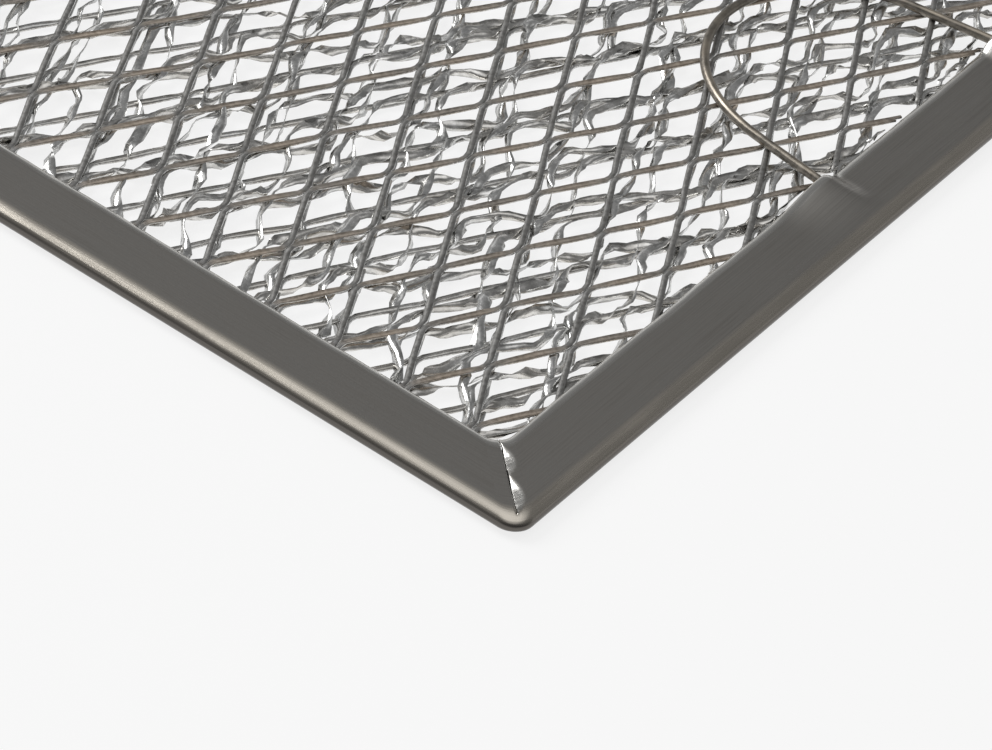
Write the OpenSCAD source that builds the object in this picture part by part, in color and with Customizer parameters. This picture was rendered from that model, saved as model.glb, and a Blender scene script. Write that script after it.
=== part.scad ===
// Flat grease filter for an over-the-range microwave oven.
// One folded strip frames a pack of expanded aluminium sheets, and a wire pull ring
// is caught under the strip at the middle of the right short side.
// The part lies flat: X runs along the long side, Y along the short side, Z up,
// with the origin under the middle of the frame. All sizes are in millimetres.

/* [Frame] */
// Length over the folds of the short sides
filter_length = 193.7; // [120:0.1:400]
// Width over the folds of the long sides
filter_width = 127; // [90:0.1:300]
// Thickness over both flanges
frame_thickness = 1.6; // [1.4:0.05:4]
// Thickness of the strip
strip_gauge = 0.3; // [0.2:0.02:0.4]
// Width of each flange, from the outer face of the fold to its lip
flange_width = 6.5; // [5.5:0.1:12]
// How far the rounded fold reaches in from the outer face
fold_depth = 1.3; // [0.8:0.05:1.4]
// Outer corner radius, seen from above
corner_radius = 1.8; // [1:0.1:4]
// Corner radius of the window inside the flanges
window_radius = 1.6; // [0.8:0.1:4]
// How far the lip is curled down on to the pack
lip_curl = 0.15; // [0.05:0.01:0.2]
// Width of the curled lip
lip_width = 0.8; // [0.4:0.05:1.2]
// Width of the cut between two flanges at a mitre
mitre_gap = 0.12; // [0.08:0.01:0.3]

/* [Mesh pack] */
// Long diagonal of a diamond, along the short side of the filter
diamond_long = 12.7; // [8:0.05:20]
// Short diagonal of a diamond, along the long side of the filter
diamond_short = 6.35; // [4:0.05:10]
// Width of a strand
strand_width = 0.6; // [0.3:0.05:1]
// Each sheet is drawn with one strand in this many, and the sheets fill each other's gaps
strand_step = 2; // [2:1:3]
// Room between the edge of a sheet and the outer face of the fold
sheet_inset = 1.2; // [0.9:0.1:3]
// Margin that stays whole along the short sides of a sheet and round its notch
sheet_margin = 0.6; // [0.3:0.1:2]
// How far the pattern of diamonds lies off the middle of the filter, along its length
pattern_offset_x = 1.9; // [-3:0.1:3]
// How far the pattern of diamonds lies off the middle of the filter, along its width
pattern_offset_y = 0.7; // [-6:0.1:6]

/* [Pull ring] */
// Diameter of the wire
wire_diameter = 0.8; // [0.5:0.05:0.9]
// Radius of the ring's round end, at the middle of the wire
ring_radius = 12.4; // [8:0.1:20]
// Distance from the lip to the centre of the round end
ring_straight = 5.3; // [2:0.1:15]
// Angle at which the two legs spread towards the frame
leg_flare = 8.5; // [0:0.5:15]
// Distance from the outer face of the fold to the wire that is hidden in it
run_inset = 1.75; // [1.6:0.05:2.5]
// Length over which the flange climbs to a leg from outside the ring
ridge_outside = 7; // [3:0.5:12]
// Length over which the flange drops from a leg to the pressed stretch inside the ring
ridge_inside = 2.2; // [1.5:0.1:4]

/* [Fit] */
// Clearance between the wire and what it lies on or under
seat_gap = 0.05; // [0.02:0.01:0.1]
// Clearance between a sheet's notch and the wire beside it
notch_gap = 0.6; // [0.3:0.1:2]

/* [Hidden] */

// Sides of the wire, steps of a fold's half turn and steps of a corner's quarter turn
wire_sides = 10;
fold_steps = 8;
corner_steps = 4;
overcut = 1;

frame_colour = [0.42, 0.41, 0.39];
mesh_colour = [0.74, 0.74, 0.73];
inner_colour = [0.62, 0.62, 0.62];
ring_colour = [0.34, 0.32, 0.29];

half_length = filter_length / 2;
half_width = filter_width / 2;
half_thickness = frame_thickness / 2;
wire_radius = wire_diameter / 2;

// The sheets share the height that the curled lips leave between them
sheet_count = 4;
pack_bottom = strip_gauge + lip_curl;
pack_top = frame_thickness - pack_bottom;
sheet_thickness = (pack_top - pack_bottom) / sheet_count;

// The legs lie on the pack at the lip and slope down into the fold behind the pressed flange
leg_height = pack_top + wire_radius + seat_gap;
run_height = strip_gauge + wire_radius + seat_gap;
leg_spread = ring_radius * cos(leg_flare)
           + (ring_straight + ring_radius * sin(leg_flare)) * tan(leg_flare);
bend_radius = (flange_width - run_inset) / (1 + sin(leg_flare));
bend_inset = flange_width - bend_radius * sin(leg_flare);
bend_spread = leg_spread - bend_radius * cos(leg_flare);

// The flange is lifted over a leg and pressed on to the lower sheets between the legs
pressed_sheets = 2;
ridge_lift = leg_height + wire_radius + 2 * seat_gap - (frame_thickness - strip_gauge);
press_depth = pressed_sheets * sheet_thickness;
press_start = run_inset + wire_radius + notch_gap / 2;
lower_notch = run_inset + (flange_width - run_inset)
            * (pack_top - press_depth + wire_radius + seat_gap - run_height)
            / (leg_height - run_height);

function clamp01(t) = max(0, min(1, t));
function ease(t) = let (c = clamp01(t)) c * c * (3 - 2 * c);

// Height of the wire's centre at a distance in from the outer face
function wire_height(inset) =
    run_height + (leg_height - run_height)
    * clamp01((inset - run_inset) / (flange_width - run_inset));

// How far the hidden wire has curved towards the middle of the ring at that distance
function wire_shift(inset) =
    let (reach = max(press_start, min(flange_width, inset)))
    leg_spread - bend_spread - sqrt(bend_radius * bend_radius - pow(reach - bend_inset, 2));

// Share of the ridge and of the pressing at a place y along the ring's side
function ridge_share(y) =
    abs(y) > leg_spread ? ease(1 - (abs(y) - leg_spread) / ridge_outside)
                        : ease(1 - (leg_spread - abs(y)) / ridge_inside);
function press_share(y) = ease((leg_spread - abs(y)) / ridge_inside);

// Change in height of the upper flange of the ring's side
function flange_lift(inset, y) =
    ridge_lift * ridge_share(y) * clamp01((inset - fold_depth) / (flange_width - fold_depth))
    - press_depth * press_share(y)
      * clamp01((inset - press_start) / (flange_width - press_start));

// Section of the strip: [distance in from the outer face, height over the middle, share of
// the curl], with an outer skin that runs from the upper lip round the fold to the lower lip
function fold_arc(deep, high, steps) =
    [for (i = [0:steps]) let (turn = 90 - 180 * i / steps)
        [fold_depth - deep * cos(turn), high * sin(turn), 0]];
function lip_points(high) =
    [[flange_width, high, 1],
     [flange_width - lip_width * 0.5, high, 0.4],
     [flange_width - lip_width, high, 0]];
function reversed(list) = [for (i = [len(list) - 1:-1:0]) list[i]];
section = concat(
    lip_points(half_thickness),
    fold_arc(fold_depth, half_thickness, fold_steps),
    reversed(lip_points(-half_thickness)),
    lip_points(-half_thickness + strip_gauge),
    reversed(fold_arc(fold_depth - strip_gauge, half_thickness - strip_gauge, fold_steps / 2)),
    reversed(lip_points(half_thickness - strip_gauge)));

// A section point at a place along the ring's side; the stations lean with the wire
function ring_side_point(point, y) =
    let (lean = ease((flange_width + ridge_outside + leg_spread - abs(y)) / ridge_outside)
              * ease(abs(y) / (leg_spread - ridge_inside)),
         up = point[1] > 0,
         curl = lip_curl * point[2] * (up ? 1 - ridge_share(y) : 1))
    [half_length - point[0],
     y - sign(y) * wire_shift(point[0]) * lean,
     half_thickness + point[1] + (up ? flange_lift(point[0], y) - curl : curl)];

// A section point at an angle round a corner; the corner radius changes towards the window
function corner_point(point, angle) =
    let (radius = corner_radius
                + (window_radius - corner_radius) * point[0] / flange_width,
         quarter = floor(angle / 90 + 0.001),
         turn = min(angle, 359.999),
         sx = (quarter % 4 == 0 || quarter % 4 == 3) ? 1 : -1,
         sy = quarter % 4 < 2 ? 1 : -1,
         curl = lip_curl * point[2] * (point[1] > 0 ? -1 : 1))
    [sx * (half_length - point[0] - radius) + radius * cos(turn),
     sy * (half_width - point[0] - radius) + radius * sin(turn),
     half_thickness + point[1] + curl];

// Places along the ring's side where the flange changes height
leg_stations = [-ridge_inside, -0.7 * ridge_inside, -0.45 * ridge_inside, -0.2 * ridge_inside,
                0, 0.12 * ridge_outside, 0.3 * ridge_outside, 0.5 * ridge_outside,
                0.7 * ridge_outside, ridge_outside];
half_stations = concat([for (s = leg_stations) leg_spread + s],
                       [flange_width + ridge_outside + leg_spread]);
ring_stations = concat(reversed([for (s = half_stations) -s]),
                       [-leg_spread / 2, 0, leg_spread / 2], half_stations);

// The strip as rows of points, once round the filter
strip_rows = concat(
    [for (y = ring_stations) [for (point = section) ring_side_point(point, y)]],
    [for (quarter = [0:3]) for (i = [0:corner_steps])
        let (angle = 90 * quarter + 90 * i / corner_steps,
             inside = quarter == floor(angle / 90 + 0.001) ? angle : angle - 0.1)
        [for (point = section) corner_point(point, inside)]]);

// A closed skin over rows of points, whose rows and columns both come round to their start
module ring_skin(rows) {
    row_count = len(rows);
    column_count = len(rows[0]);
    polyhedron(
        points = [for (row = rows) for (point = row) point],
        faces = [for (r = [0:row_count - 1]) for (c = [0:column_count - 1])
                 let (r2 = (r + 1) % row_count, c2 = (c + 1) % column_count,
                      a = r * column_count + c, b = r2 * column_count + c,
                      d = r * column_count + c2, e = r2 * column_count + c2)
                 each [[a, d, e], [a, e, b]]],
        convexity = 6);
}

// The cut between two flanges, through both of them but not through the fold
module mitre_cut(turn) {
    start = (fold_depth + mitre_gap) * sqrt(2);
    reach = (flange_width + window_radius) * sqrt(2) - start;
    rotate([0, 0, turn])
        translate([start, -mitre_gap / 2, -overcut])
            cube([reach, mitre_gap, frame_thickness + 2 * overcut]);
}

// One strip folded round the pack, cut at its mitres
module frame() {
    color(frame_colour)
    difference() {
        ring_skin(strip_rows);
        for (sx = [-1, 1], sy = [-1, 1])
            translate([sx * half_length, sy * half_width, 0])
                mitre_cut(atan2(-sy, -sx));
    }
}

// One diamond opening in a sheet
module diamond(width, height) {
    polygon([[width / 2, 0], [0, height / 2], [-width / 2, 0], [0, -height / 2]]);
}

// Openings of one sheet, staggered in rows; the shift is counted in strands
module diamond_field(shift) {
    pitch_x = diamond_short * strand_step;
    pitch_y = diamond_long * strand_step;
    slope = atan2(diamond_long, diamond_short);
    open_x = pitch_x - strand_width / sin(slope);
    open_y = pitch_y - strand_width / cos(slope);
    start_x = pattern_offset_x + shift[0] * diamond_short / 2;
    start_y = pattern_offset_y + shift[1] * diamond_long / 2;
    columns = ceil(filter_length / pitch_x) + 1;
    rows = ceil(filter_width / pitch_y) + 1;
    for (i = [-columns:columns], j = [-rows:rows])
        if ((i + j) % 2 == 0)
            let (x = start_x + i * pitch_x / 2, y = start_y + j * pitch_y / 2,
                 past_x = max(0, abs(x) - (half_length - flange_width)),
                 past_y = max(0, abs(y) - (half_width - flange_width)))
            if (2 * past_x / open_x + 2 * past_y / open_y < 1)
                translate([x, y]) diamond(open_x, open_y);
}

// One expanded sheet, cut back round the hidden part of the pull ring
module expanded_sheet(layer, shift, notch_depth) {
    x = half_length - sheet_inset;
    y = half_width - sheet_inset;
    cut = corner_radius + sheet_inset;
    notch_half = leg_spread + wire_radius + notch_gap;
    whole_depth = notch_depth + sheet_margin;
    whole_half = leg_spread + ridge_outside;
    translate([0, 0, pack_bottom + layer * sheet_thickness])
        linear_extrude(sheet_thickness)
            difference() {
                polygon([[x, cut - y], [x, y - cut], [x - cut, y], [cut - x, y],
                         [-x, y - cut], [-x, cut - y], [cut - x, -y], [x - cut, -y]]);
                intersection() {
                    diamond_field(shift);
                    difference() {
                        square([2 * (x - sheet_margin), filter_width], center = true);
                        translate([half_length - whole_depth, -whole_half])
                            square([whole_depth, 2 * whole_half]);
                    }
                }
                translate([half_length - notch_depth, -notch_half])
                    square([notch_depth, 2 * notch_half]);
            }
}

module upper_face_mesh() {
    color(mesh_colour) expanded_sheet(3, [0, 0], flange_width + seat_gap);
}

module upper_inner_mesh() {
    color(inner_colour) expanded_sheet(2, [2, 0], flange_width + seat_gap);
}

module lower_inner_mesh() {
    color(inner_colour) expanded_sheet(1, [1, 1], lower_notch);
}

module lower_face_mesh() {
    color(mesh_colour) expanded_sheet(0, [3, 1], lower_notch);
}

// Centre line of one half of the ring, from the run in the fold out to the tip:
// [distance in from the outer face, distance from the middle of the side]
bend_steps = 7;
tip_steps = 8;
half_ring = concat(
    [for (i = [bend_steps:-1:0])
        let (turn = 90 - leg_flare + (90 + leg_flare) * i / bend_steps)
        [bend_inset + bend_radius * cos(turn), bend_spread + bend_radius * sin(turn)]],
    [for (i = [0:tip_steps - 1])
        let (turn = (90 - leg_flare) * (1 - i / tip_steps))
        [flange_width + ring_straight + ring_radius * cos(turn), ring_radius * sin(turn)]]);
ring_tip = [flange_width + ring_straight + ring_radius, 0];
ring_line = concat(half_ring, [ring_tip],
                   [for (point = reversed(half_ring)) [point[0], -point[1]]]);
ring_path = [for (point = ring_line)
             [half_length - point[0], point[1], wire_height(point[0])]];

// A round wire bent into one closed loop
module pull_ring() {
    count = len(ring_path);
    rows = [for (i = [0:count - 1])
        let (before = ring_path[(i + count - 1) % count],
             after = ring_path[(i + 1) % count],
             along = (after - before) / norm(after - before),
             across = cross(along, [0, 0, 1]) / norm(cross(along, [0, 0, 1])),
             upward = cross(across, along))
        [for (k = [0:wire_sides - 1])
            let (turn = 360 * (k + 0.5) / wire_sides)
            ring_path[i] + wire_radius * (across * cos(turn) + upward * sin(turn))]];
    color(ring_colour) ring_skin(rows);
}

frame();
upper_face_mesh();
upper_inner_mesh();
lower_inner_mesh();
lower_face_mesh();
pull_ring();
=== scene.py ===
# Flat grease filter: folded strip frame, expanded mesh plies and a wire pull ring
import math
import random

import bmesh
import bpy
from mathutils import Matrix, Vector, noise


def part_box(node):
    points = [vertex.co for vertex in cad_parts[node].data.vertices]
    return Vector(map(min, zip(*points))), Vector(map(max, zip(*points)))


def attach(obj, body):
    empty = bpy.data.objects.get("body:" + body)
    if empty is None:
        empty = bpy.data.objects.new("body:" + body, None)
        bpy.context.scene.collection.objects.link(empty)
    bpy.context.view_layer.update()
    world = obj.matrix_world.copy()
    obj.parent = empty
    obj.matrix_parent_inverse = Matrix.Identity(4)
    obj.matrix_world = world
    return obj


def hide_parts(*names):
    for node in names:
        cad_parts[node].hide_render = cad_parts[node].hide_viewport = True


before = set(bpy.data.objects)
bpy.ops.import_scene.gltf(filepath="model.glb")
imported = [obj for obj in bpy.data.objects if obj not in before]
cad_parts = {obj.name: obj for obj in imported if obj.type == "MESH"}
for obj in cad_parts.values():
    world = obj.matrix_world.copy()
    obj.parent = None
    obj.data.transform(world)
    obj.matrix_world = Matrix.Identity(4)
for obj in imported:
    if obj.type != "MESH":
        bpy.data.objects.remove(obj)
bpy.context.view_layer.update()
mm = 0.001
scene = bpy.context.scene
scene.view_settings.view_transform = "Standard"
print("frame loaded:", len(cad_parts), "nodes")

frameLow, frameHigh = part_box("frame")
halfLength = frameHigh.x / mm
halfWidth = frameHigh.y / mm
frameTop = 1.6  # top of the flat flange; the ridges over the ring's legs rise above it


# Small helpers

def clamp(value, low=0.0, high=1.0):
    return max(low, min(high, value))


def ease(t):
    t = clamp(t)
    return t * t * (3 - 2 * t)


def mix(a, b, t):
    return a + (b - a) * t


def ripple(x, y, z=0.0):
    """smooth noise from -1 to 1 at a place given in millimetres"""
    return noise.noise(Vector((x, y, z)))


def floatLayer(bm, name):
    return bm.verts.layers.float.get(name) or bm.verts.layers.float.new(name)


def makePiece(bm, name, materials, replaced, smooth=True):
    """the mesh, still in millimetres, becomes a finished piece that rides on the root body"""
    bmesh.ops.scale(bm, vec=(mm, mm, mm), verts=bm.verts)
    for face in bm.faces:
        face.smooth = smooth
    mesh = bpy.data.meshes.new(name)
    bm.to_mesh(mesh)
    bm.free()
    piece = bpy.data.objects.new(name, mesh)
    scene.collection.objects.link(piece)
    for material in materials:
        mesh.materials.append(material)
    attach(piece, "root")
    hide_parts(*replaced)
    return piece


def solidify(piece, thickness, offset, rimMaterial=0):
    wall = piece.modifiers.new("gauge", "SOLIDIFY")
    wall.thickness = thickness * mm
    wall.offset = offset
    wall.material_offset_rim = rimMaterial
    return wall


# Node helpers

class NodeSketch:
    """adds nodes to one tree and wires them as they are made"""

    def __init__(self, tree):
        self.tree = tree
        tree.nodes.clear()

    def add(self, kind, inputs=None, **settings):
        node = self.tree.nodes.new(kind)
        for key, value in settings.items():
            setattr(node, key, value)
        for key, value in (inputs or {}).items():
            socket = node.inputs[key]
            if isinstance(value, bpy.types.NodeSocket):
                self.tree.links.new(value, socket)
            else:
                socket.default_value = value
        return node

    def math(self, operation, a, b=0.0, c=0.0, clamped=False):
        node = self.add("ShaderNodeMath", {0: a, 1: b, 2: c}, operation=operation, use_clamp=clamped)
        return node.outputs[0]

    def range(self, value, fromLow, fromHigh, toLow=0.0, toHigh=1.0):
        node = self.add("ShaderNodeMapRange", {"Value": value, "From Min": fromLow, "From Max": fromHigh,
                                               "To Min": toLow, "To Max": toHigh})
        node.clamp = True
        return node.outputs[0]

    def blend(self, factor, a, b):
        node = self.add("ShaderNodeMix", data_type="RGBA")
        for index, value in ((0, factor), (6, a), (7, b)):
            if isinstance(value, bpy.types.NodeSocket):
                self.tree.links.new(value, node.inputs[index])
            else:
                node.inputs[index].default_value = value
        return node.outputs[2]

    def noise(self, vector, scale, detail=3.0, roughness=0.55):
        node = self.add("ShaderNodeTexNoise", {"Vector": vector, "Scale": scale, "Detail": detail,
                                               "Roughness": roughness})
        return node.outputs[0]

    def stretch(self, vector, scale, rotation=(0, 0, 0), location=(0, 0, 0)):
        node = self.add("ShaderNodeMapping", {"Vector": vector, "Location": location,
                                              "Rotation": rotation, "Scale": scale})
        return node.outputs[0]


def makeGroup(name, inputs, outputs):
    group = bpy.data.node_groups.new(name, "ShaderNodeTree")
    kinds = {float: "NodeSocketFloat", tuple: "NodeSocketColor", Vector: "NodeSocketVector"}
    for label, value in inputs.items():
        socket = group.interface.new_socket(label, in_out="INPUT", socket_type=kinds[type(value)])
        socket.default_value = value
    for label, kind in outputs.items():
        group.interface.new_socket(label, in_out="OUTPUT", socket_type=kinds[kind])
    sketch = NodeSketch(group)
    return group, sketch, sketch.add("NodeGroupInput"), sketch.add("NodeGroupOutput")


def makeBrushGroup():
    """fine streaks along the strip with a slower mottling; U of the UV map runs along the strip"""
    group, sketch, given, put = makeGroup(
        "brushedStreaks", {"Fineness": 9.0, "Length": 0.25, "Contrast": 1.0},
        {"Streak": float, "Mottle": float, "Height": float})
    uv = sketch.add("ShaderNodeUVMap", uv_map="stripUv").outputs[0]
    parts = sketch.add("ShaderNodeSeparateXYZ", {0: uv})
    along = sketch.math("MULTIPLY", parts.outputs[0], given.outputs["Length"])
    across = sketch.math("MULTIPLY", parts.outputs[1], given.outputs["Fineness"])
    lined = sketch.add("ShaderNodeCombineXYZ", {0: along, 1: across}).outputs[0]
    fine = sketch.noise(lined, 1.0, 4.0, 0.6)
    wide = sketch.noise(sketch.stretch(lined, (0.45, 0.22, 1), location=(7, 3, 0)), 1.0, 2.0)
    blotch = sketch.noise(sketch.stretch(uv, (0.12, 0.35, 1)), 1.0, 3.0)
    streak = sketch.math("ADD", sketch.math("MULTIPLY", sketch.math("SUBTRACT", fine, 0.5), 1.4),
                         sketch.math("MULTIPLY", sketch.math("SUBTRACT", wide, 0.5), 0.9))
    streak = sketch.math("MULTIPLY", streak, given.outputs["Contrast"])
    sketch.tree.links.new(streak, put.inputs["Streak"])
    sketch.tree.links.new(sketch.math("SUBTRACT", blotch, 0.5), put.inputs["Mottle"])
    sketch.tree.links.new(fine, put.inputs["Height"])
    return group


brushGroup = makeBrushGroup()


def makeStripMaterial(name, settings):
    """dull strip; the attributes painted on the mesh while it is shaped give a painted highlight, partly real
    polish, on the lip and the press marks, a painted highlight on the rolled fold, and painted shade on the lower
    part of the outer fold wall
    """
    material = bpy.data.materials.new(name)
    material.use_nodes = True
    sketch = NodeSketch(material.node_tree)
    brushed = sketch.add("ShaderNodeGroup", node_tree=brushGroup)
    brushed.inputs["Fineness"].default_value = settings["fineness"]
    brushed.inputs["Length"].default_value = settings["length"]
    streak, mottle, height = brushed.outputs[0], brushed.outputs[1], brushed.outputs[2]
    polishAndHighlight = sketch.add("ShaderNodeAttribute", attribute_name="polishAndHighlight").outputs["Fac"]
    foldWallShade = sketch.add("ShaderNodeAttribute", attribute_name="foldWallShade").outputs["Fac"]
    rolledHighlight = sketch.add("ShaderNodeAttribute", attribute_name="rolledHighlight").outputs["Fac"]
    tone = sketch.math("ADD", sketch.math("MULTIPLY", streak, settings["streak"]),
                       sketch.math("MULTIPLY", mottle, settings["mottle"]))
    tone = sketch.math("ADD", tone, 0.5, clamped=True)
    colour = sketch.blend(tone, (*settings["dark"], 1), (*settings["light"], 1))
    # painted highlight: the rolled fold is lighter
    colour = sketch.blend(rolledHighlight, colour, (*settings["rolledHighlightColour"], 1))
    # painted shade: the lower part of the outer fold wall is darker
    colour = sketch.blend(foldWallShade, colour, (*settings["foldWallShadeColour"], 1))
    # polish with a painted highlight on the lip and the press marks
    colour = sketch.blend(polishAndHighlight, colour, (*settings["polishHighlightColour"], 1))
    rough = sketch.math("MULTIPLY_ADD", sketch.math("SUBTRACT", tone, 0.5), -0.25, settings["rough"])
    rough = sketch.math("MULTIPLY_ADD", rolledHighlight, settings["rolledRough"] - settings["rough"], rough)
    rough = sketch.math("MULTIPLY_ADD", polishAndHighlight, -settings["rough"] + settings["polishRough"], rough, clamped=True)
    bump = sketch.add("ShaderNodeBump", {"Height": height, "Strength": 0.18, "Distance": 0.00004})
    shader = sketch.add("ShaderNodeBsdfPrincipled", {
        "Base Color": colour, "Roughness": rough, "Metallic": 1.0, "Normal": bump.outputs[0]})
    sketch.add("ShaderNodeOutputMaterial", {"Surface": shader.outputs[0]})
    return material


def makeFoilMaterial(name, settings):
    """expanded foil; the attribute sloping is 1 on the sloping strands, which get a painted tan sheen, a warm
    reflection painted into the colour, and 0 on the dark flat ones
    """
    material = bpy.data.materials.new(name)
    material.use_nodes = True
    sketch = NodeSketch(material.node_tree)
    place = sketch.add("ShaderNodeTexCoord").outputs["Object"]
    sloping = sketch.add("ShaderNodeAttribute", attribute_name="sloping").outputs["Fac"]
    glint = sketch.add("ShaderNodeAttribute", attribute_name="glint").outputs["Fac"]
    fleck = sketch.noise(place, settings["fleckScale"], 3.0, 0.6)
    broad = sketch.noise(place, settings["broadScale"], 2.0)
    plain = sketch.blend(sketch.range(fleck, 0.35, 0.65), (*settings["dark"], 1), (*settings["light"], 1))
    # painted tan sheen on the sloping strands, standing in for a warm reflection
    tan = sketch.blend(sketch.range(fleck, 0.3, 0.7), (*settings["tanDark"], 1), (*settings["tanLight"], 1))
    tanMask = sketch.math("MULTIPLY", sloping, sketch.range(broad, 0.3, 0.6, settings["tanLeast"], 1.0))
    colour = sketch.blend(tanMask, plain, tan)
    colour = sketch.blend(glint, colour, (*settings["glintColour"], 1))
    rough = sketch.range(fleck, 0.3, 0.7, settings["rough"], settings["rough"] + 0.12)
    rough = sketch.math("MULTIPLY_ADD", glint, -settings["rough"] + 0.14, rough, clamped=True)
    bump = sketch.add("ShaderNodeBump", {"Height": fleck, "Strength": settings["bump"], "Distance": 0.00006})
    shader = sketch.add("ShaderNodeBsdfPrincipled", {
        "Base Color": colour, "Roughness": rough, "Metallic": 1.0, "Normal": bump.outputs[0]})
    sketch.add("ShaderNodeOutputMaterial", {"Surface": shader.outputs[0]})
    return material


stripMaterial = makeStripMaterial("brushedStrip", {
    "fineness": 9.0, "length": 0.16, "streak": 0.9, "mottle": 0.8, "rough": 0.38,
    "dark": (0.2, 0.19, 0.175), "light": (0.46, 0.445, 0.42), "foldWallShadeColour": (0.13, 0.12, 0.11),
    "rolledHighlightColour": (0.55, 0.51, 0.45), "rolledRough": 0.24,
    "polishHighlightColour": (0.74, 0.73, 0.70), "polishRough": 0.2})
strandMaterial = makeFoilMaterial("strandFace", {
    "fleckScale": 2600, "broadScale": 160, "rough": 0.38, "bump": 0.25, "tanLeast": 0.45,
    "dark": (0.24, 0.235, 0.225), "light": (0.36, 0.355, 0.345),
    "tanDark": (0.42, 0.35, 0.28), "tanLight": (0.66, 0.57, 0.48), "glintColour": (0.8, 0.8, 0.79)})
cutMaterial = makeFoilMaterial("cutEdge", {
    "fleckScale": 3000, "broadScale": 300, "rough": 0.2, "bump": 0.3, "tanLeast": 0.2,
    "dark": (0.5, 0.5, 0.49), "light": (0.85, 0.85, 0.84),
    "tanDark": (0.4, 0.36, 0.3), "tanLight": (0.7, 0.64, 0.56), "glintColour": (0.85, 0.85, 0.84)})
foilMaterial = makeFoilMaterial("brightFoil", {
    "fleckScale": 900, "broadScale": 220, "rough": 0.16, "bump": 0.5, "tanLeast": 0.1,
    "dark": (0.55, 0.55, 0.54), "light": (0.88, 0.88, 0.87),
    "tanDark": (0.45, 0.4, 0.33), "tanLight": (0.7, 0.63, 0.54), "glintColour": (0.9, 0.9, 0.89)})
print("materials made")


# Folded strip frame

strip = {
    "gauge": 0.3, "flange": 6.5, "foldDepth": 1.3, "outerRadius": 1.8, "windowRadius": 1.6,
    "lipStart": 5.6, "lipDrop": 0.34, "lipSteps": 9, "flangeStep": 0.22, "foldSteps": 18,
    "rowStep": 1.0, "ringRowStep": 0.4, "seamSteps": 9, "seamGap": 0.05, "seamStart": 1.45,
    "legSpread": 13.33, "ridgeOutside": 7.0, "ridgeInside": 2.2, "ridgeLift": 0.8,
    "pressDepth": 0.35, "pressStart": 2.45,
    "dents": [  # along the seam from and to, width, depth, all in mm from the corner
        # each dent's last value sets how much polish with a painted highlight it gets
        {"start": 4.1, "end": 6.1, "width": 0.85, "depth": 0.24, "polishHighlight": 0.75},
        {"start": 1.3, "end": 3.8, "width": 0.9, "depth": 0.26, "polishHighlight": 0.9}],
}


def stripSection():
    """[inset, height, share of the lip's waviness] round the outer skin, from upper lip to lower lip"""
    s = strip
    points = []
    lipWidth = s["flange"] - s["lipStart"]
    for i in range(s["lipSteps"]):
        share = 1 - (i / s["lipSteps"]) ** 1.4
        points.append((s["lipStart"] + lipWidth * math.sin(share * math.pi / 2) ** 0.9,
                       frameTop - s["lipDrop"] * (1 - math.cos(share * math.pi / 2) ** 1.3), 1.0))
    flat = s["lipStart"] - s["foldDepth"]
    count = round(flat / s["flangeStep"])
    for i in range(count):
        points.append((s["foldDepth"] + flat * (1 - i / count), frameTop, clamp(1 - 3 * i / count)))
    for i in range(s["foldSteps"] + 1):
        turn = math.radians(90 - 180 * i / s["foldSteps"])
        points.append((s["foldDepth"] - s["foldDepth"] * math.cos(turn),
                       frameTop / 2 + frameTop / 2 * math.sin(turn), 0.0))
    count = 7
    for i in range(1, count + 1):
        points.append((s["foldDepth"] + (s["flange"] - 0.3 - s["foldDepth"]) * i / count, 0.0, 0.0))
    points.append((s["flange"] - 0.08, 0.06, 0.0))
    points.append((s["flange"], 0.18, 0.0))
    return points


def legStations(halfAlong, withRing):
    """places along a leg: ("arc", angle) in the corners and ("run", place) between them"""
    steps = strip["seamSteps"]
    arc = [("arc", -45 + 45 * i / steps) for i in range(steps)]
    reach = halfAlong - strip["outerRadius"]
    runs = [-reach]
    while runs[-1] < reach - 1e-6:
        here = runs[-1]
        step = strip["rowStep"]
        if withRing and 7 < abs(here) < 24:
            step = strip["ringRowStep"]
        if reach - abs(here) < 6:
            step = 0.35
        runs.append(min(reach, here + step))
    if reach - runs[-2] < 0.1:
        runs.pop(-2)
    return arc + [("run", y) for y in runs] + [("arc", 45 - 45 * i / steps) for i in range(steps - 1, -1, -1)]


def contour(inset, halfOut, halfAlong, station):
    """plan position of a section point on the leg whose outer face is at +X"""
    radius = mix(strip["outerRadius"], strip["windowRadius"], inset / strip["flange"])
    kind, value = station
    if kind == "arc":
        turn, side = math.radians(abs(value)), math.copysign(1, value)
        return (halfOut - inset - radius + radius * math.cos(turn),
                side * (halfAlong - inset - radius + radius * math.sin(turn)))
    reach = halfAlong - strip["outerRadius"]
    narrower = inset + radius - strip["outerRadius"]
    skew = ease((abs(value) - reach * 0.55) / (reach * 0.45))
    return halfOut - inset, value - math.copysign(narrower * skew, value)


def ridgeShare(y):
    spread = strip["legSpread"]
    if abs(y) > spread:
        return ease(1 - (abs(y) - spread) / strip["ridgeOutside"])
    return ease(1 - (spread - abs(y)) / strip["ridgeInside"])


def pressShare(y):
    return ease((strip["legSpread"] - abs(y)) / strip["ridgeInside"])


def ringSideLift(inset, y):
    """rise of the upper flange over the ring's legs, and its drop between them"""
    s = strip
    lift = s["ridgeLift"] * ridgeShare(y) * clamp((inset - s["foldDepth"]) / (s["flange"] - s["foldDepth"]))
    drop = s["pressDepth"] * pressShare(y) * clamp((inset - s["pressStart"]) / (s["flange"] - s["pressStart"]))
    return lift - drop


def dentAt(p, q):
    """depth of the two press marks and the share of their polish with a painted highlight; p from the +X face, q
    from the -Y face, in mm
    """
    across = (q - p) / math.sqrt(2)
    if across < -0.02:
        return 0.0, 0.0
    for dent in strip["dents"]:
        t = ((p + q) / 2 - dent["start"]) / (dent["end"] - dent["start"])
        if 0 < t < 1:
            edge = dent["width"] * math.sin(math.pi * t) ** 0.6
            if across < edge:
                share = 1 - across / edge
                return dent["depth"] * share, dent["polishHighlight"] * clamp(share * 8)
    return 0.0, 0.0


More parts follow.
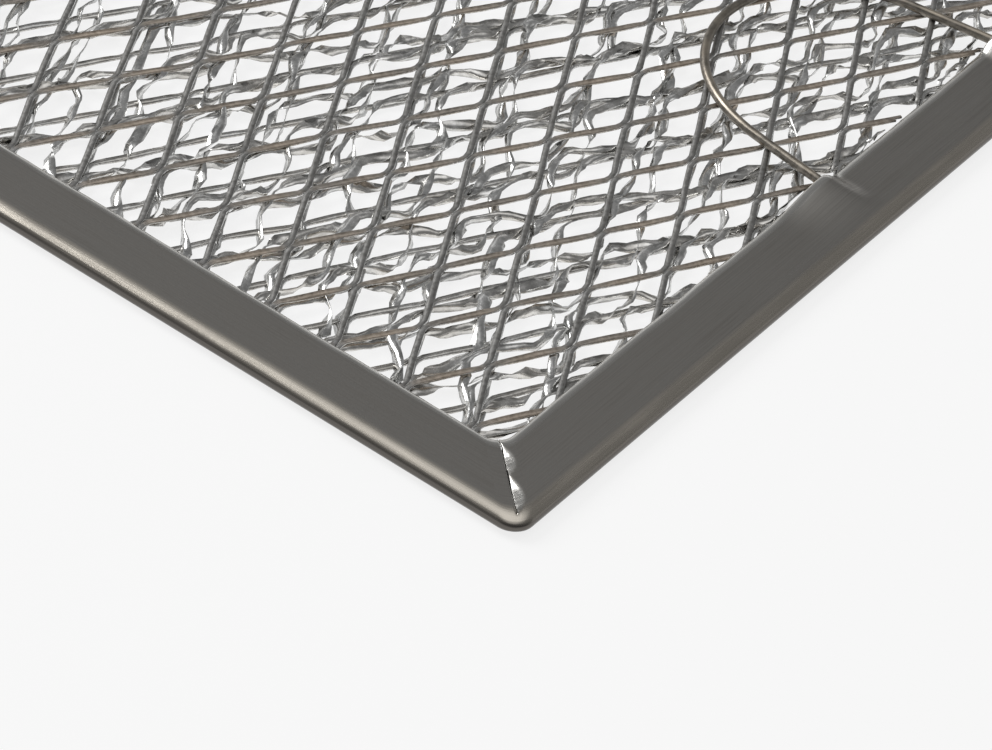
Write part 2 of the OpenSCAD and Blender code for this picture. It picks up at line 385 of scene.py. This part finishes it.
def makeLeg(bm, leg):
    """one leg of the frame with its half corners, from seam to seam"""
    section = stripSection()
    halfOut, halfAlong = (halfLength, halfWidth) if leg % 2 == 0 else (halfWidth, halfLength)
    stations = legStations(halfAlong, leg == 0)
    rows, columns = len(stations) - 1, len(section) - 1
    polishAndHighlight, foldWallShade, rolledHighlight = (floatLayer(bm, name) for name in ("polishAndHighlight", "foldWallShade", "rolledHighlight"))
    made = bmesh.ops.create_grid(bm, x_segments=rows, y_segments=columns, size=0.5)
    turn = Matrix.Rotation(math.radians(90 * leg), 4, "Z")
    lengths = [0.0]
    for before, after in zip(section, section[1:]):
        lengths.append(lengths[-1] + math.hypot(after[0] - before[0], after[1] - before[1]))
    notes = {}
    for vert in made["verts"]:
        i, j = round((vert.co.x + 0.5) * rows), round((vert.co.y + 0.5) * columns)
        inset, height, waviness = section[j]
        upper = height > frameTop * 0.55
        x, y = contour(inset, halfOut, halfAlong, stations[i])
        p, q = halfOut - x, halfAlong - abs(y)
        side = math.copysign(1, y)
        if stations[i][0] == "arc" and abs(stations[i][1]) == 45 and inset > strip["seamStart"]:
            y -= side * strip["seamGap"] * ease((inset - strip["seamStart"]) / 0.6)
        lift = 0.0
        if upper:
            if leg == 0:
                lift += ringSideLift(inset, y)
            world = turn @ Vector((x, y, 0))
            wave = ripple(world.x * 0.16, world.y * 0.16, 3) + 0.5 * ripple(world.x * 0.5, world.y * 0.5, 8)
            x += 0.09 * waviness * wave * ease(q / 12)
            lift += 0.02 * ripple(world.x * 0.07, world.y * 0.07, 20) * waviness
            if leg == 0 and y < 0:
                depth, share = dentAt(p, q)
                lift -= depth
                # the press mark gets polish with a painted highlight
                vert[polishAndHighlight] = share
        # the lip gets polish with a painted highlight
        if upper and inset > strip["lipStart"]:
            vert[polishAndHighlight] = max(vert[polishAndHighlight], ease((inset - strip["lipStart"] - 0.12) / 0.2))
        if inset < strip["foldDepth"]:
            # painted highlight on the rolled fold
            vert[rolledHighlight] = ease((strip["foldDepth"] - inset) / 0.4)
            # painted shade on the lower part of the outer fold wall
            vert[foldWallShade] = ease((frameTop - 0.3 - height) / 0.2)
        vert.co = turn @ Vector((x, y, height + lift))
        along = y if stations[i][0] == "run" else side * (halfAlong + abs(stations[i][1]) / 45)
        notes[vert] = (along + 260 * leg, lengths[j])
    return notes


def makeFrame():
    bm = bmesh.new()
    uvLayer = bm.loops.layers.uv.new("stripUv")
    for leg in range(4):
        notes = makeLeg(bm, leg)
        for face in {face for vert in notes for face in vert.link_faces}:
            for loop in face.loops:
                loop[uvLayer].uv = notes[loop.vert]
    bmesh.ops.remove_doubles(bm, verts=bm.verts, dist=0.004)
    topFace = max(bm.faces, key=lambda face: face.calc_center_median().z)
    bmesh.ops.recalc_face_normals(bm, faces=bm.faces)
    if topFace.normal.z < 0:
        bmesh.ops.reverse_faces(bm, faces=bm.faces)
    piece = makePiece(bm, "frameStrip", [stripMaterial], ["frame"])
    solidify(piece, strip["gauge"], -1)
    return piece


makeFrame()
print("frame strip made")


# Expanded plies: each is a row of zigzag strands that meet at the knuckles

pitchShort = 6.35
pitchLong = 12.7
latticePhase = (1.94, 0.71)  # a knuckle's place from the middle of the filter


def underFlange(x, y):
    """how far under the flange a place is, 0 in the window to 1 at the lip and beyond"""
    depth = max(abs(x) - (halfLength - strip["flange"]), abs(y) - (halfWidth - strip["flange"]))
    return clamp((depth + 1.2) / 1.0)


def makePly(name, settings, materials, replaced):
    s = settings
    bm = bmesh.new()
    sloping, glint = floatLayer(bm, "sloping"), floatLayer(bm, "glint")
    spanX = halfLength - s["margin"]
    spanY = halfWidth - s["margin"]
    half = pitchShort / 2
    step = pitchLong / 2
    first = math.floor((-spanX - s["phase"][0]) / half) - s["extra"]
    last = math.ceil((spanX - s["phase"][0]) / half) + s["extra"]
    rowsPerStep = s["rows"]
    random.seed(s["seed"])
    cosSkew, sinSkew = math.cos(s["skew"]), math.sin(s["skew"])
    for column in range(first, last):
        left = s["phase"][0] + column * half
        offset = s["phase"][1] + (column % 2) * step
        startCell = math.floor((-spanY - offset) / step) - s["extra"]
        endCell = math.ceil((spanY - offset) / step) + s["extra"]
        rows = (endCell - startCell) * rowsPerStep
        made = bmesh.ops.create_grid(bm, x_segments=s["acrossFaces"], y_segments=rows, size=0.5)
        dropped = []
        for vert in made["verts"]:
            share = vert.co.x  # -0.5 to 0.5 across the strand
            row = round((vert.co.y + 0.5) * rows)
            cells = startCell + row / rowsPerStep
            cell = math.floor(cells + 1e-6)
            t = cells - cell
            goingRight = cell % 2 == 0  # cell 0 starts at the left knuckle
            shape = clamp((t - s["bond"]) / (1 - 2 * s["bond"]))
            shape = mix(shape, ease(shape), s["roundness"])
            across = shape if goingRight else 1 - shape
            width = s["width"] * (1 + s["widthNoise"] * ripple(column * 3.1, cells * 0.9, 5))
            x = left + width / 2 + across * (half - width)
            y = offset + cells * step
            slope = (half - width) / (step * (1 - 2 * s["bond"])) * (1 if goingRight else -1)
            if t < s["bond"] or t > 1 - s["bond"]:
                slope *= clamp(min(t, 1 - t) / max(s["bond"], 1e-3)) ** 2
            middle = math.sin(math.pi * clamp(t))
            tilt = mix(s["knuckleTilt"], s["rightTilt"] if goingRight else s["leftTilt"], middle)
            tilt += s["tiltNoise"] * ripple(x * s["crumple"] * 1.7 + 9, y * s["crumple"] * 1.7, s["seed"])
            along = Vector((slope, 1, 0)).normalized()
            side = Vector((along.y, -along.x, 0))
            lean = side * math.cos(tilt) + Vector((0, 0, -1)) * math.sin(tilt)
            z = s["height"] + (across - 0.5) * s["width"] * math.sin(s["knuckleTilt"])
            if s["acrossFaces"] > 1:
                z += s["crease"] * (1 - 2 * abs(share)) * ripple(x * 0.8, y * 0.8, 31)
            co = Vector((x, y, z)) + lean * share * width
            wander = noise.noise_vector(Vector((x * s["crumple"], y * s["crumple"], s["seed"] * 3.3)))
            wilder = noise.noise_vector(Vector((x * s["crumple"] * 3, y * s["crumple"] * 3, s["seed"] * 1.3)))
            co.x += s["wander"] * wander.x + 0.35 * s["wander"] * wilder.x
            co.y += s["wander"] * wander.y + 0.35 * s["wander"] * wilder.y
            co.z += s["billow"] * wander.z + 0.5 * s["billow"] * wilder.z
            co.x, co.y = co.x * cosSkew - co.y * sinSkew, co.x * sinSkew + co.y * cosSkew
            hidden = underFlange(co.x, co.y)
            co.z = mix(co.z, mix(s["pinchLow"], s["pinchHigh"], clamp((co.z - s["low"]) / (s["high"] - s["low"]))), hidden)
            co.z = clamp(co.z, s["low"], s["high"])
            # sloping strands get a painted tan sheen
            vert[sloping] = (middle ** 0.5 if goingRight else 0.0) * s["tan"]
            vert[glint] = s["glint"] * ease((t - 0.82) / 0.1) * (0 if goingRight else 1) * ease(0.2 - share)
            vert.co = co
            inNotch = co.x > halfLength - s["notchDepth"] and abs(co.y) < 14.4
            if abs(co.x) > spanX or abs(co.y) > spanY or inNotch:
                dropped.append(vert)
        bmesh.ops.delete(bm, geom=dropped, context="VERTS")
    loose = [vert for vert in bm.verts if not vert.link_faces]
    bmesh.ops.delete(bm, geom=loose, context="VERTS")
    piece = makePiece(bm, name, materials, replaced)
    solidify(piece, s["gauge"], 0, 1 if len(materials) > 1 else 0)
    return piece


faceMesh = {
    "seed": 1, "phase": latticePhase, "skew": 0.0, "extra": 0, "margin": 1.5, "rows": 10, "acrossFaces": 2,
    "width": 0.5, "widthNoise": 0.12, "gauge": 0.16, "bond": 0.07, "roundness": 0.0,
    "height": 1.02, "knuckleTilt": -0.3, "rightTilt": 0.3, "leftTilt": -0.05, "tiltNoise": 0.25,
    "crease": 0.03, "crumple": 0.12, "wander": 0.14, "billow": 0.05, "tan": 1.0, "glint": 1.0,
    "low": 0.2, "high": 1.12, "pinchLow": 0.6, "pinchHigh": 1.02, "notchDepth": 6.6,
}
makePly("upperFaceMesh", faceMesh, [strandMaterial, cutMaterial], ["upper_face_mesh"])

innerMesh = dict(
    faceMesh, seed=5, phase=(0.6, 2.9), skew=0.05, extra=2, rows=10, acrossFaces=2, width=0.9, widthNoise=0.5,
    gauge=0.05, bond=0.1, roundness=0.5, height=0.7, knuckleTilt=-0.8, rightTilt=1.1, leftTilt=-0.9,
    tiltNoise=2.4, crease=0.35, crumple=0.2, wander=1.1, billow=0.3, tan=0.35, low=0.2, high=1.0,
    pinchLow=0.7, pinchHigh=0.95, notchDepth=6.6)
makePly("upperInnerFoil", innerMesh, [foilMaterial], ["upper_inner_mesh"])

lowerInner = dict(innerMesh, seed=9, phase=(-1.1, 5.4), skew=-0.07, height=0.6, low=0.15, high=0.85,
                  pinchLow=0.5, pinchHigh=0.7, notchDepth=4.6)
makePly("lowerInnerFoil", lowerInner, [foilMaterial], ["lower_inner_mesh"])

lowerFace = dict(faceMesh, seed=13, phase=(0.4, 4.1), height=0.42, wander=0.3, low=0.1, high=0.6,
                 pinchLow=0.42, pinchHigh=0.5, notchDepth=4.6, tan=0.5)
makePly("lowerFaceMesh", lowerFace, [foilMaterial, cutMaterial], ["lower_face_mesh"])
print("plies made")


# Pull ring

ring = {
    "wireRadius": 0.4, "tipRadius": 12.4, "straight": 5.3, "flare": 8.5, "runInset": 1.75,
    "legHeight": 1.6, "runHeight": 0.75, "wireSides": 14, "tipSteps": 40, "bendSteps": 14,
    "wobble": 0.12,
}


def wireHeight(inset):
    r = ring
    share = clamp((inset - r["runInset"]) / (strip["flange"] - r["runInset"]))
    return mix(r["runHeight"], r["legHeight"], share)


def makeRing():
    """one wire bent into a closed loop: half is spun and extruded, then mirrored"""
    r = ring
    flare = math.radians(r["flare"])
    bendRadius = (strip["flange"] - r["runInset"]) / (1 + math.sin(flare))
    bendInset = strip["flange"] - bendRadius * math.sin(flare)
    bendSpread = strip["legSpread"] - bendRadius * math.cos(flare)
    tipInset = strip["flange"] + r["straight"]
    bm = bmesh.new()
    circle = bmesh.ops.create_circle(
        bm, segments=r["wireSides"], radius=r["wireRadius"],
        matrix=Matrix.Translation((tipInset + r["tipRadius"], 0, 0)) @ Matrix.Rotation(math.pi / 2, 4, "X"))
    edges = list({edge for vert in circle["verts"] for edge in vert.link_edges})

    def spin(edges, centre, angle, steps):
        made = bmesh.ops.spin(bm, geom=edges, cent=centre, axis=(0, 0, 1), angle=angle, steps=steps)
        return [item for item in made["geom_last"] if isinstance(item, bmesh.types.BMEdge)]

    edges = spin(edges, (tipInset, 0, 0), math.pi / 2 - flare, r["tipSteps"])
    # the leg runs from the end of the tip's arc to the start of the bend
    legStart = Vector((tipInset + r["tipRadius"] * math.sin(flare), r["tipRadius"] * math.cos(flare), 0))
    legEnd = Vector((bendInset + bendRadius * math.sin(flare), bendSpread + bendRadius * math.cos(flare), 0))
    for part in range(4):
        made = bmesh.ops.extrude_edge_only(bm, edges=edges)
        verts = [item for item in made["geom"] if isinstance(item, bmesh.types.BMVert)]
        edges = [item for item in made["geom"] if isinstance(item, bmesh.types.BMEdge)
                 and all(vert in verts for vert in item.verts)]
        bmesh.ops.translate(bm, verts=verts, vec=(legEnd - legStart) / 4)
    edges = spin(edges, (bendInset, bendSpread, 0), math.pi / 2 + flare, r["bendSteps"])
    made = bmesh.ops.extrude_edge_only(bm, edges=edges)
    verts = [item for item in made["geom"] if isinstance(item, bmesh.types.BMVert)]
    bmesh.ops.translate(bm, verts=verts, vec=(0, -bendSpread, 0))
    bmesh.ops.mirror(bm, geom=bm.verts[:] + bm.edges[:] + bm.faces[:], axis="Y", merge_dist=0.001)
    bmesh.ops.remove_doubles(bm, verts=bm.verts, dist=0.002)
    for vert in bm.verts:
        inset = vert.co.x
        sway = r["wobble"] * ease((inset - 9) / 8) * ripple(inset * 0.12, vert.co.y * 0.12, 40)
        vert.co = (halfLength - inset + sway * 0.6, vert.co.y + sway,
                   vert.co.z + wireHeight(inset))
    bmesh.ops.recalc_face_normals(bm, faces=bm.faces)
    return makePiece(bm, "pullRing", [ringMaterial], ["pull_ring"])


def makeRingMaterial():
    material = bpy.data.materials.new("drawnWire")
    material.use_nodes = True
    sketch = NodeSketch(material.node_tree)
    place = sketch.add("ShaderNodeTexCoord").outputs["Object"]
    fleck = sketch.noise(place, 1500, 3.0)
    broad = sketch.noise(place, 220, 2.0)
    normal = sketch.add("ShaderNodeNewGeometry").outputs["Normal"]
    up = sketch.add("ShaderNodeSeparateXYZ", {0: normal}).outputs[2]
    colour = sketch.blend(sketch.range(fleck, 0.3, 0.7), (0.16, 0.145, 0.125, 1), (0.30, 0.275, 0.24, 1))
    # painted highlight: the upward-facing top of the wire is lighter, in patches
    topSheen = sketch.math("MULTIPLY", sketch.range(up, 0.55, 0.95), sketch.range(broad, 0.4, 0.6))
    colour = sketch.blend(topSheen, colour, (0.48, 0.42, 0.34, 1))
    rough = sketch.range(fleck, 0.3, 0.7, 0.3, 0.45)
    bump = sketch.add("ShaderNodeBump", {"Height": fleck, "Strength": 0.2, "Distance": 0.00005})
    shader = sketch.add("ShaderNodeBsdfPrincipled", {
        "Base Color": colour, "Roughness": rough, "Metallic": 1.0, "Normal": bump.outputs[0]})
    sketch.add("ShaderNodeOutputMaterial", {"Surface": shader.outputs[0]})
    return material


ringMaterial = makeRingMaterial()
makeRing()
print("pull ring made")


# Floor, light and camera

studio = {
    "floorSize": 1.6, "floorGlow": 1.0, "dim": 0.2, "horizon": 0.8, "ceiling": 0.9,
}


def makeFloor():
    bm = bmesh.new()
    bmesh.ops.create_grid(bm, x_segments=4, y_segments=4, size=studio["floorSize"])
    mesh = bpy.data.meshes.new("floor")
    bm.to_mesh(mesh)
    bm.free()
    floor = bpy.data.objects.new("floor", mesh)
    scene.collection.objects.link(floor)
    material = bpy.data.materials.new("paleFloor")
    material.use_nodes = True
    sketch = NodeSketch(material.node_tree)
    path = sketch.add("ShaderNodeLightPath")
    seen = sketch.math("MAXIMUM", path.outputs["Is Camera Ray"],
                       sketch.math("MAXIMUM", path.outputs["Is Glossy Ray"], path.outputs["Is Transmission Ray"]))
    plain = sketch.add("ShaderNodeBsdfDiffuse", {"Color": (0.9, 0.9, 0.9, 1)})
    glow = sketch.add("ShaderNodeEmission", {"Color": (1, 1, 1, 1), "Strength": studio["floorGlow"]})
    glowing = sketch.add("ShaderNodeMixShader", {0: 0.2, 1: glow.outputs[0], 2: plain.outputs[0]})
    both = sketch.add("ShaderNodeMixShader", {0: seen, 1: plain.outputs[0], 2: glowing.outputs[0]})
    sketch.add("ShaderNodeOutputMaterial", {"Surface": both.outputs[0]})
    mesh.materials.append(material)


def makeWorld():
    world = bpy.data.worlds.new("studio")
    scene.world = world
    world.use_nodes = True
    sketch = NodeSketch(world.node_tree)
    path = sketch.add("ShaderNodeLightPath")
    direction = sketch.add("ShaderNodeTexCoord").outputs["Generated"]
    up = sketch.add("ShaderNodeSeparateXYZ", {0: direction}).outputs[2]
    low = sketch.range(up, 0.04, 0.36, studio["horizon"], studio["dim"])
    high = sketch.range(up, 0.8, 0.97, 0.0, studio["ceiling"])
    soft = sketch.add("ShaderNodeBackground", {"Color": (1, 1, 1, 1), "Strength": sketch.math("ADD", low, high)})
    white = sketch.add("ShaderNodeBackground", {"Color": (1, 1, 1, 1), "Strength": 1.0})
    both = sketch.add("ShaderNodeMixShader", {0: path.outputs["Is Camera Ray"], 1: soft.outputs[0],
                                              2: white.outputs[0]})
    sketch.add("ShaderNodeOutputWorld", {"Surface": both.outputs[0]})


def addSoftbox(name, direction, distance, size, watts, colour=(1, 1, 1)):
    lamp = bpy.data.lights.new(name, "AREA")
    lamp.shape = "RECTANGLE"
    lamp.size, lamp.size_y = size
    lamp.energy = watts
    lamp.color = colour
    holder = bpy.data.objects.new(name, lamp)
    scene.collection.objects.link(holder)
    direction = Vector(direction).normalized()
    holder.location = direction * distance
    holder.rotation_euler = direction.to_track_quat("Z", "Y").to_euler()
    return holder


def makeCamera():
    """the photograph's pose: pinhole fitted to the mesh, the frame's corner and the ring"""
    pose = {"focal": 4813.0, "azimuth": 0.4962, "elevation": 0.7067, "roll": 0.2008,
            "target": (85.716, -51.148, 1.6), "distance": 357.38}
    azimuth, elevation = pose["azimuth"], pose["elevation"]
    back = Vector((math.sin(azimuth) * math.cos(elevation), -math.cos(azimuth) * math.cos(elevation),
                   math.sin(elevation)))
    right = Vector((math.cos(azimuth), math.sin(azimuth), 0))
    up = back.cross(right)
    cosRoll, sinRoll = math.cos(pose["roll"]), math.sin(pose["roll"])
    axisX = right * cosRoll + up * sinRoll
    axisY = -right * sinRoll + up * cosRoll
    data = bpy.data.cameras.new("camera")
    data.sensor_width = 36
    data.lens = pose["focal"] * 36 / 992
    data.clip_start, data.clip_end = 0.02, 20
    camera = bpy.data.objects.new("camera", data)
    scene.collection.objects.link(camera)
    camera.matrix_world = Matrix.Translation((Vector(pose["target"]) + back * pose["distance"]) * mm) @ Matrix(
        (axisX, axisY, back)).transposed().to_4x4()
    scene.camera = camera


makeFloor()
makeWorld()
addSoftbox("keySoftbox", (-0.75, -0.1, 0.65), 1.2, (0.7, 0.7), 9)
makeCamera()
print("studio made")
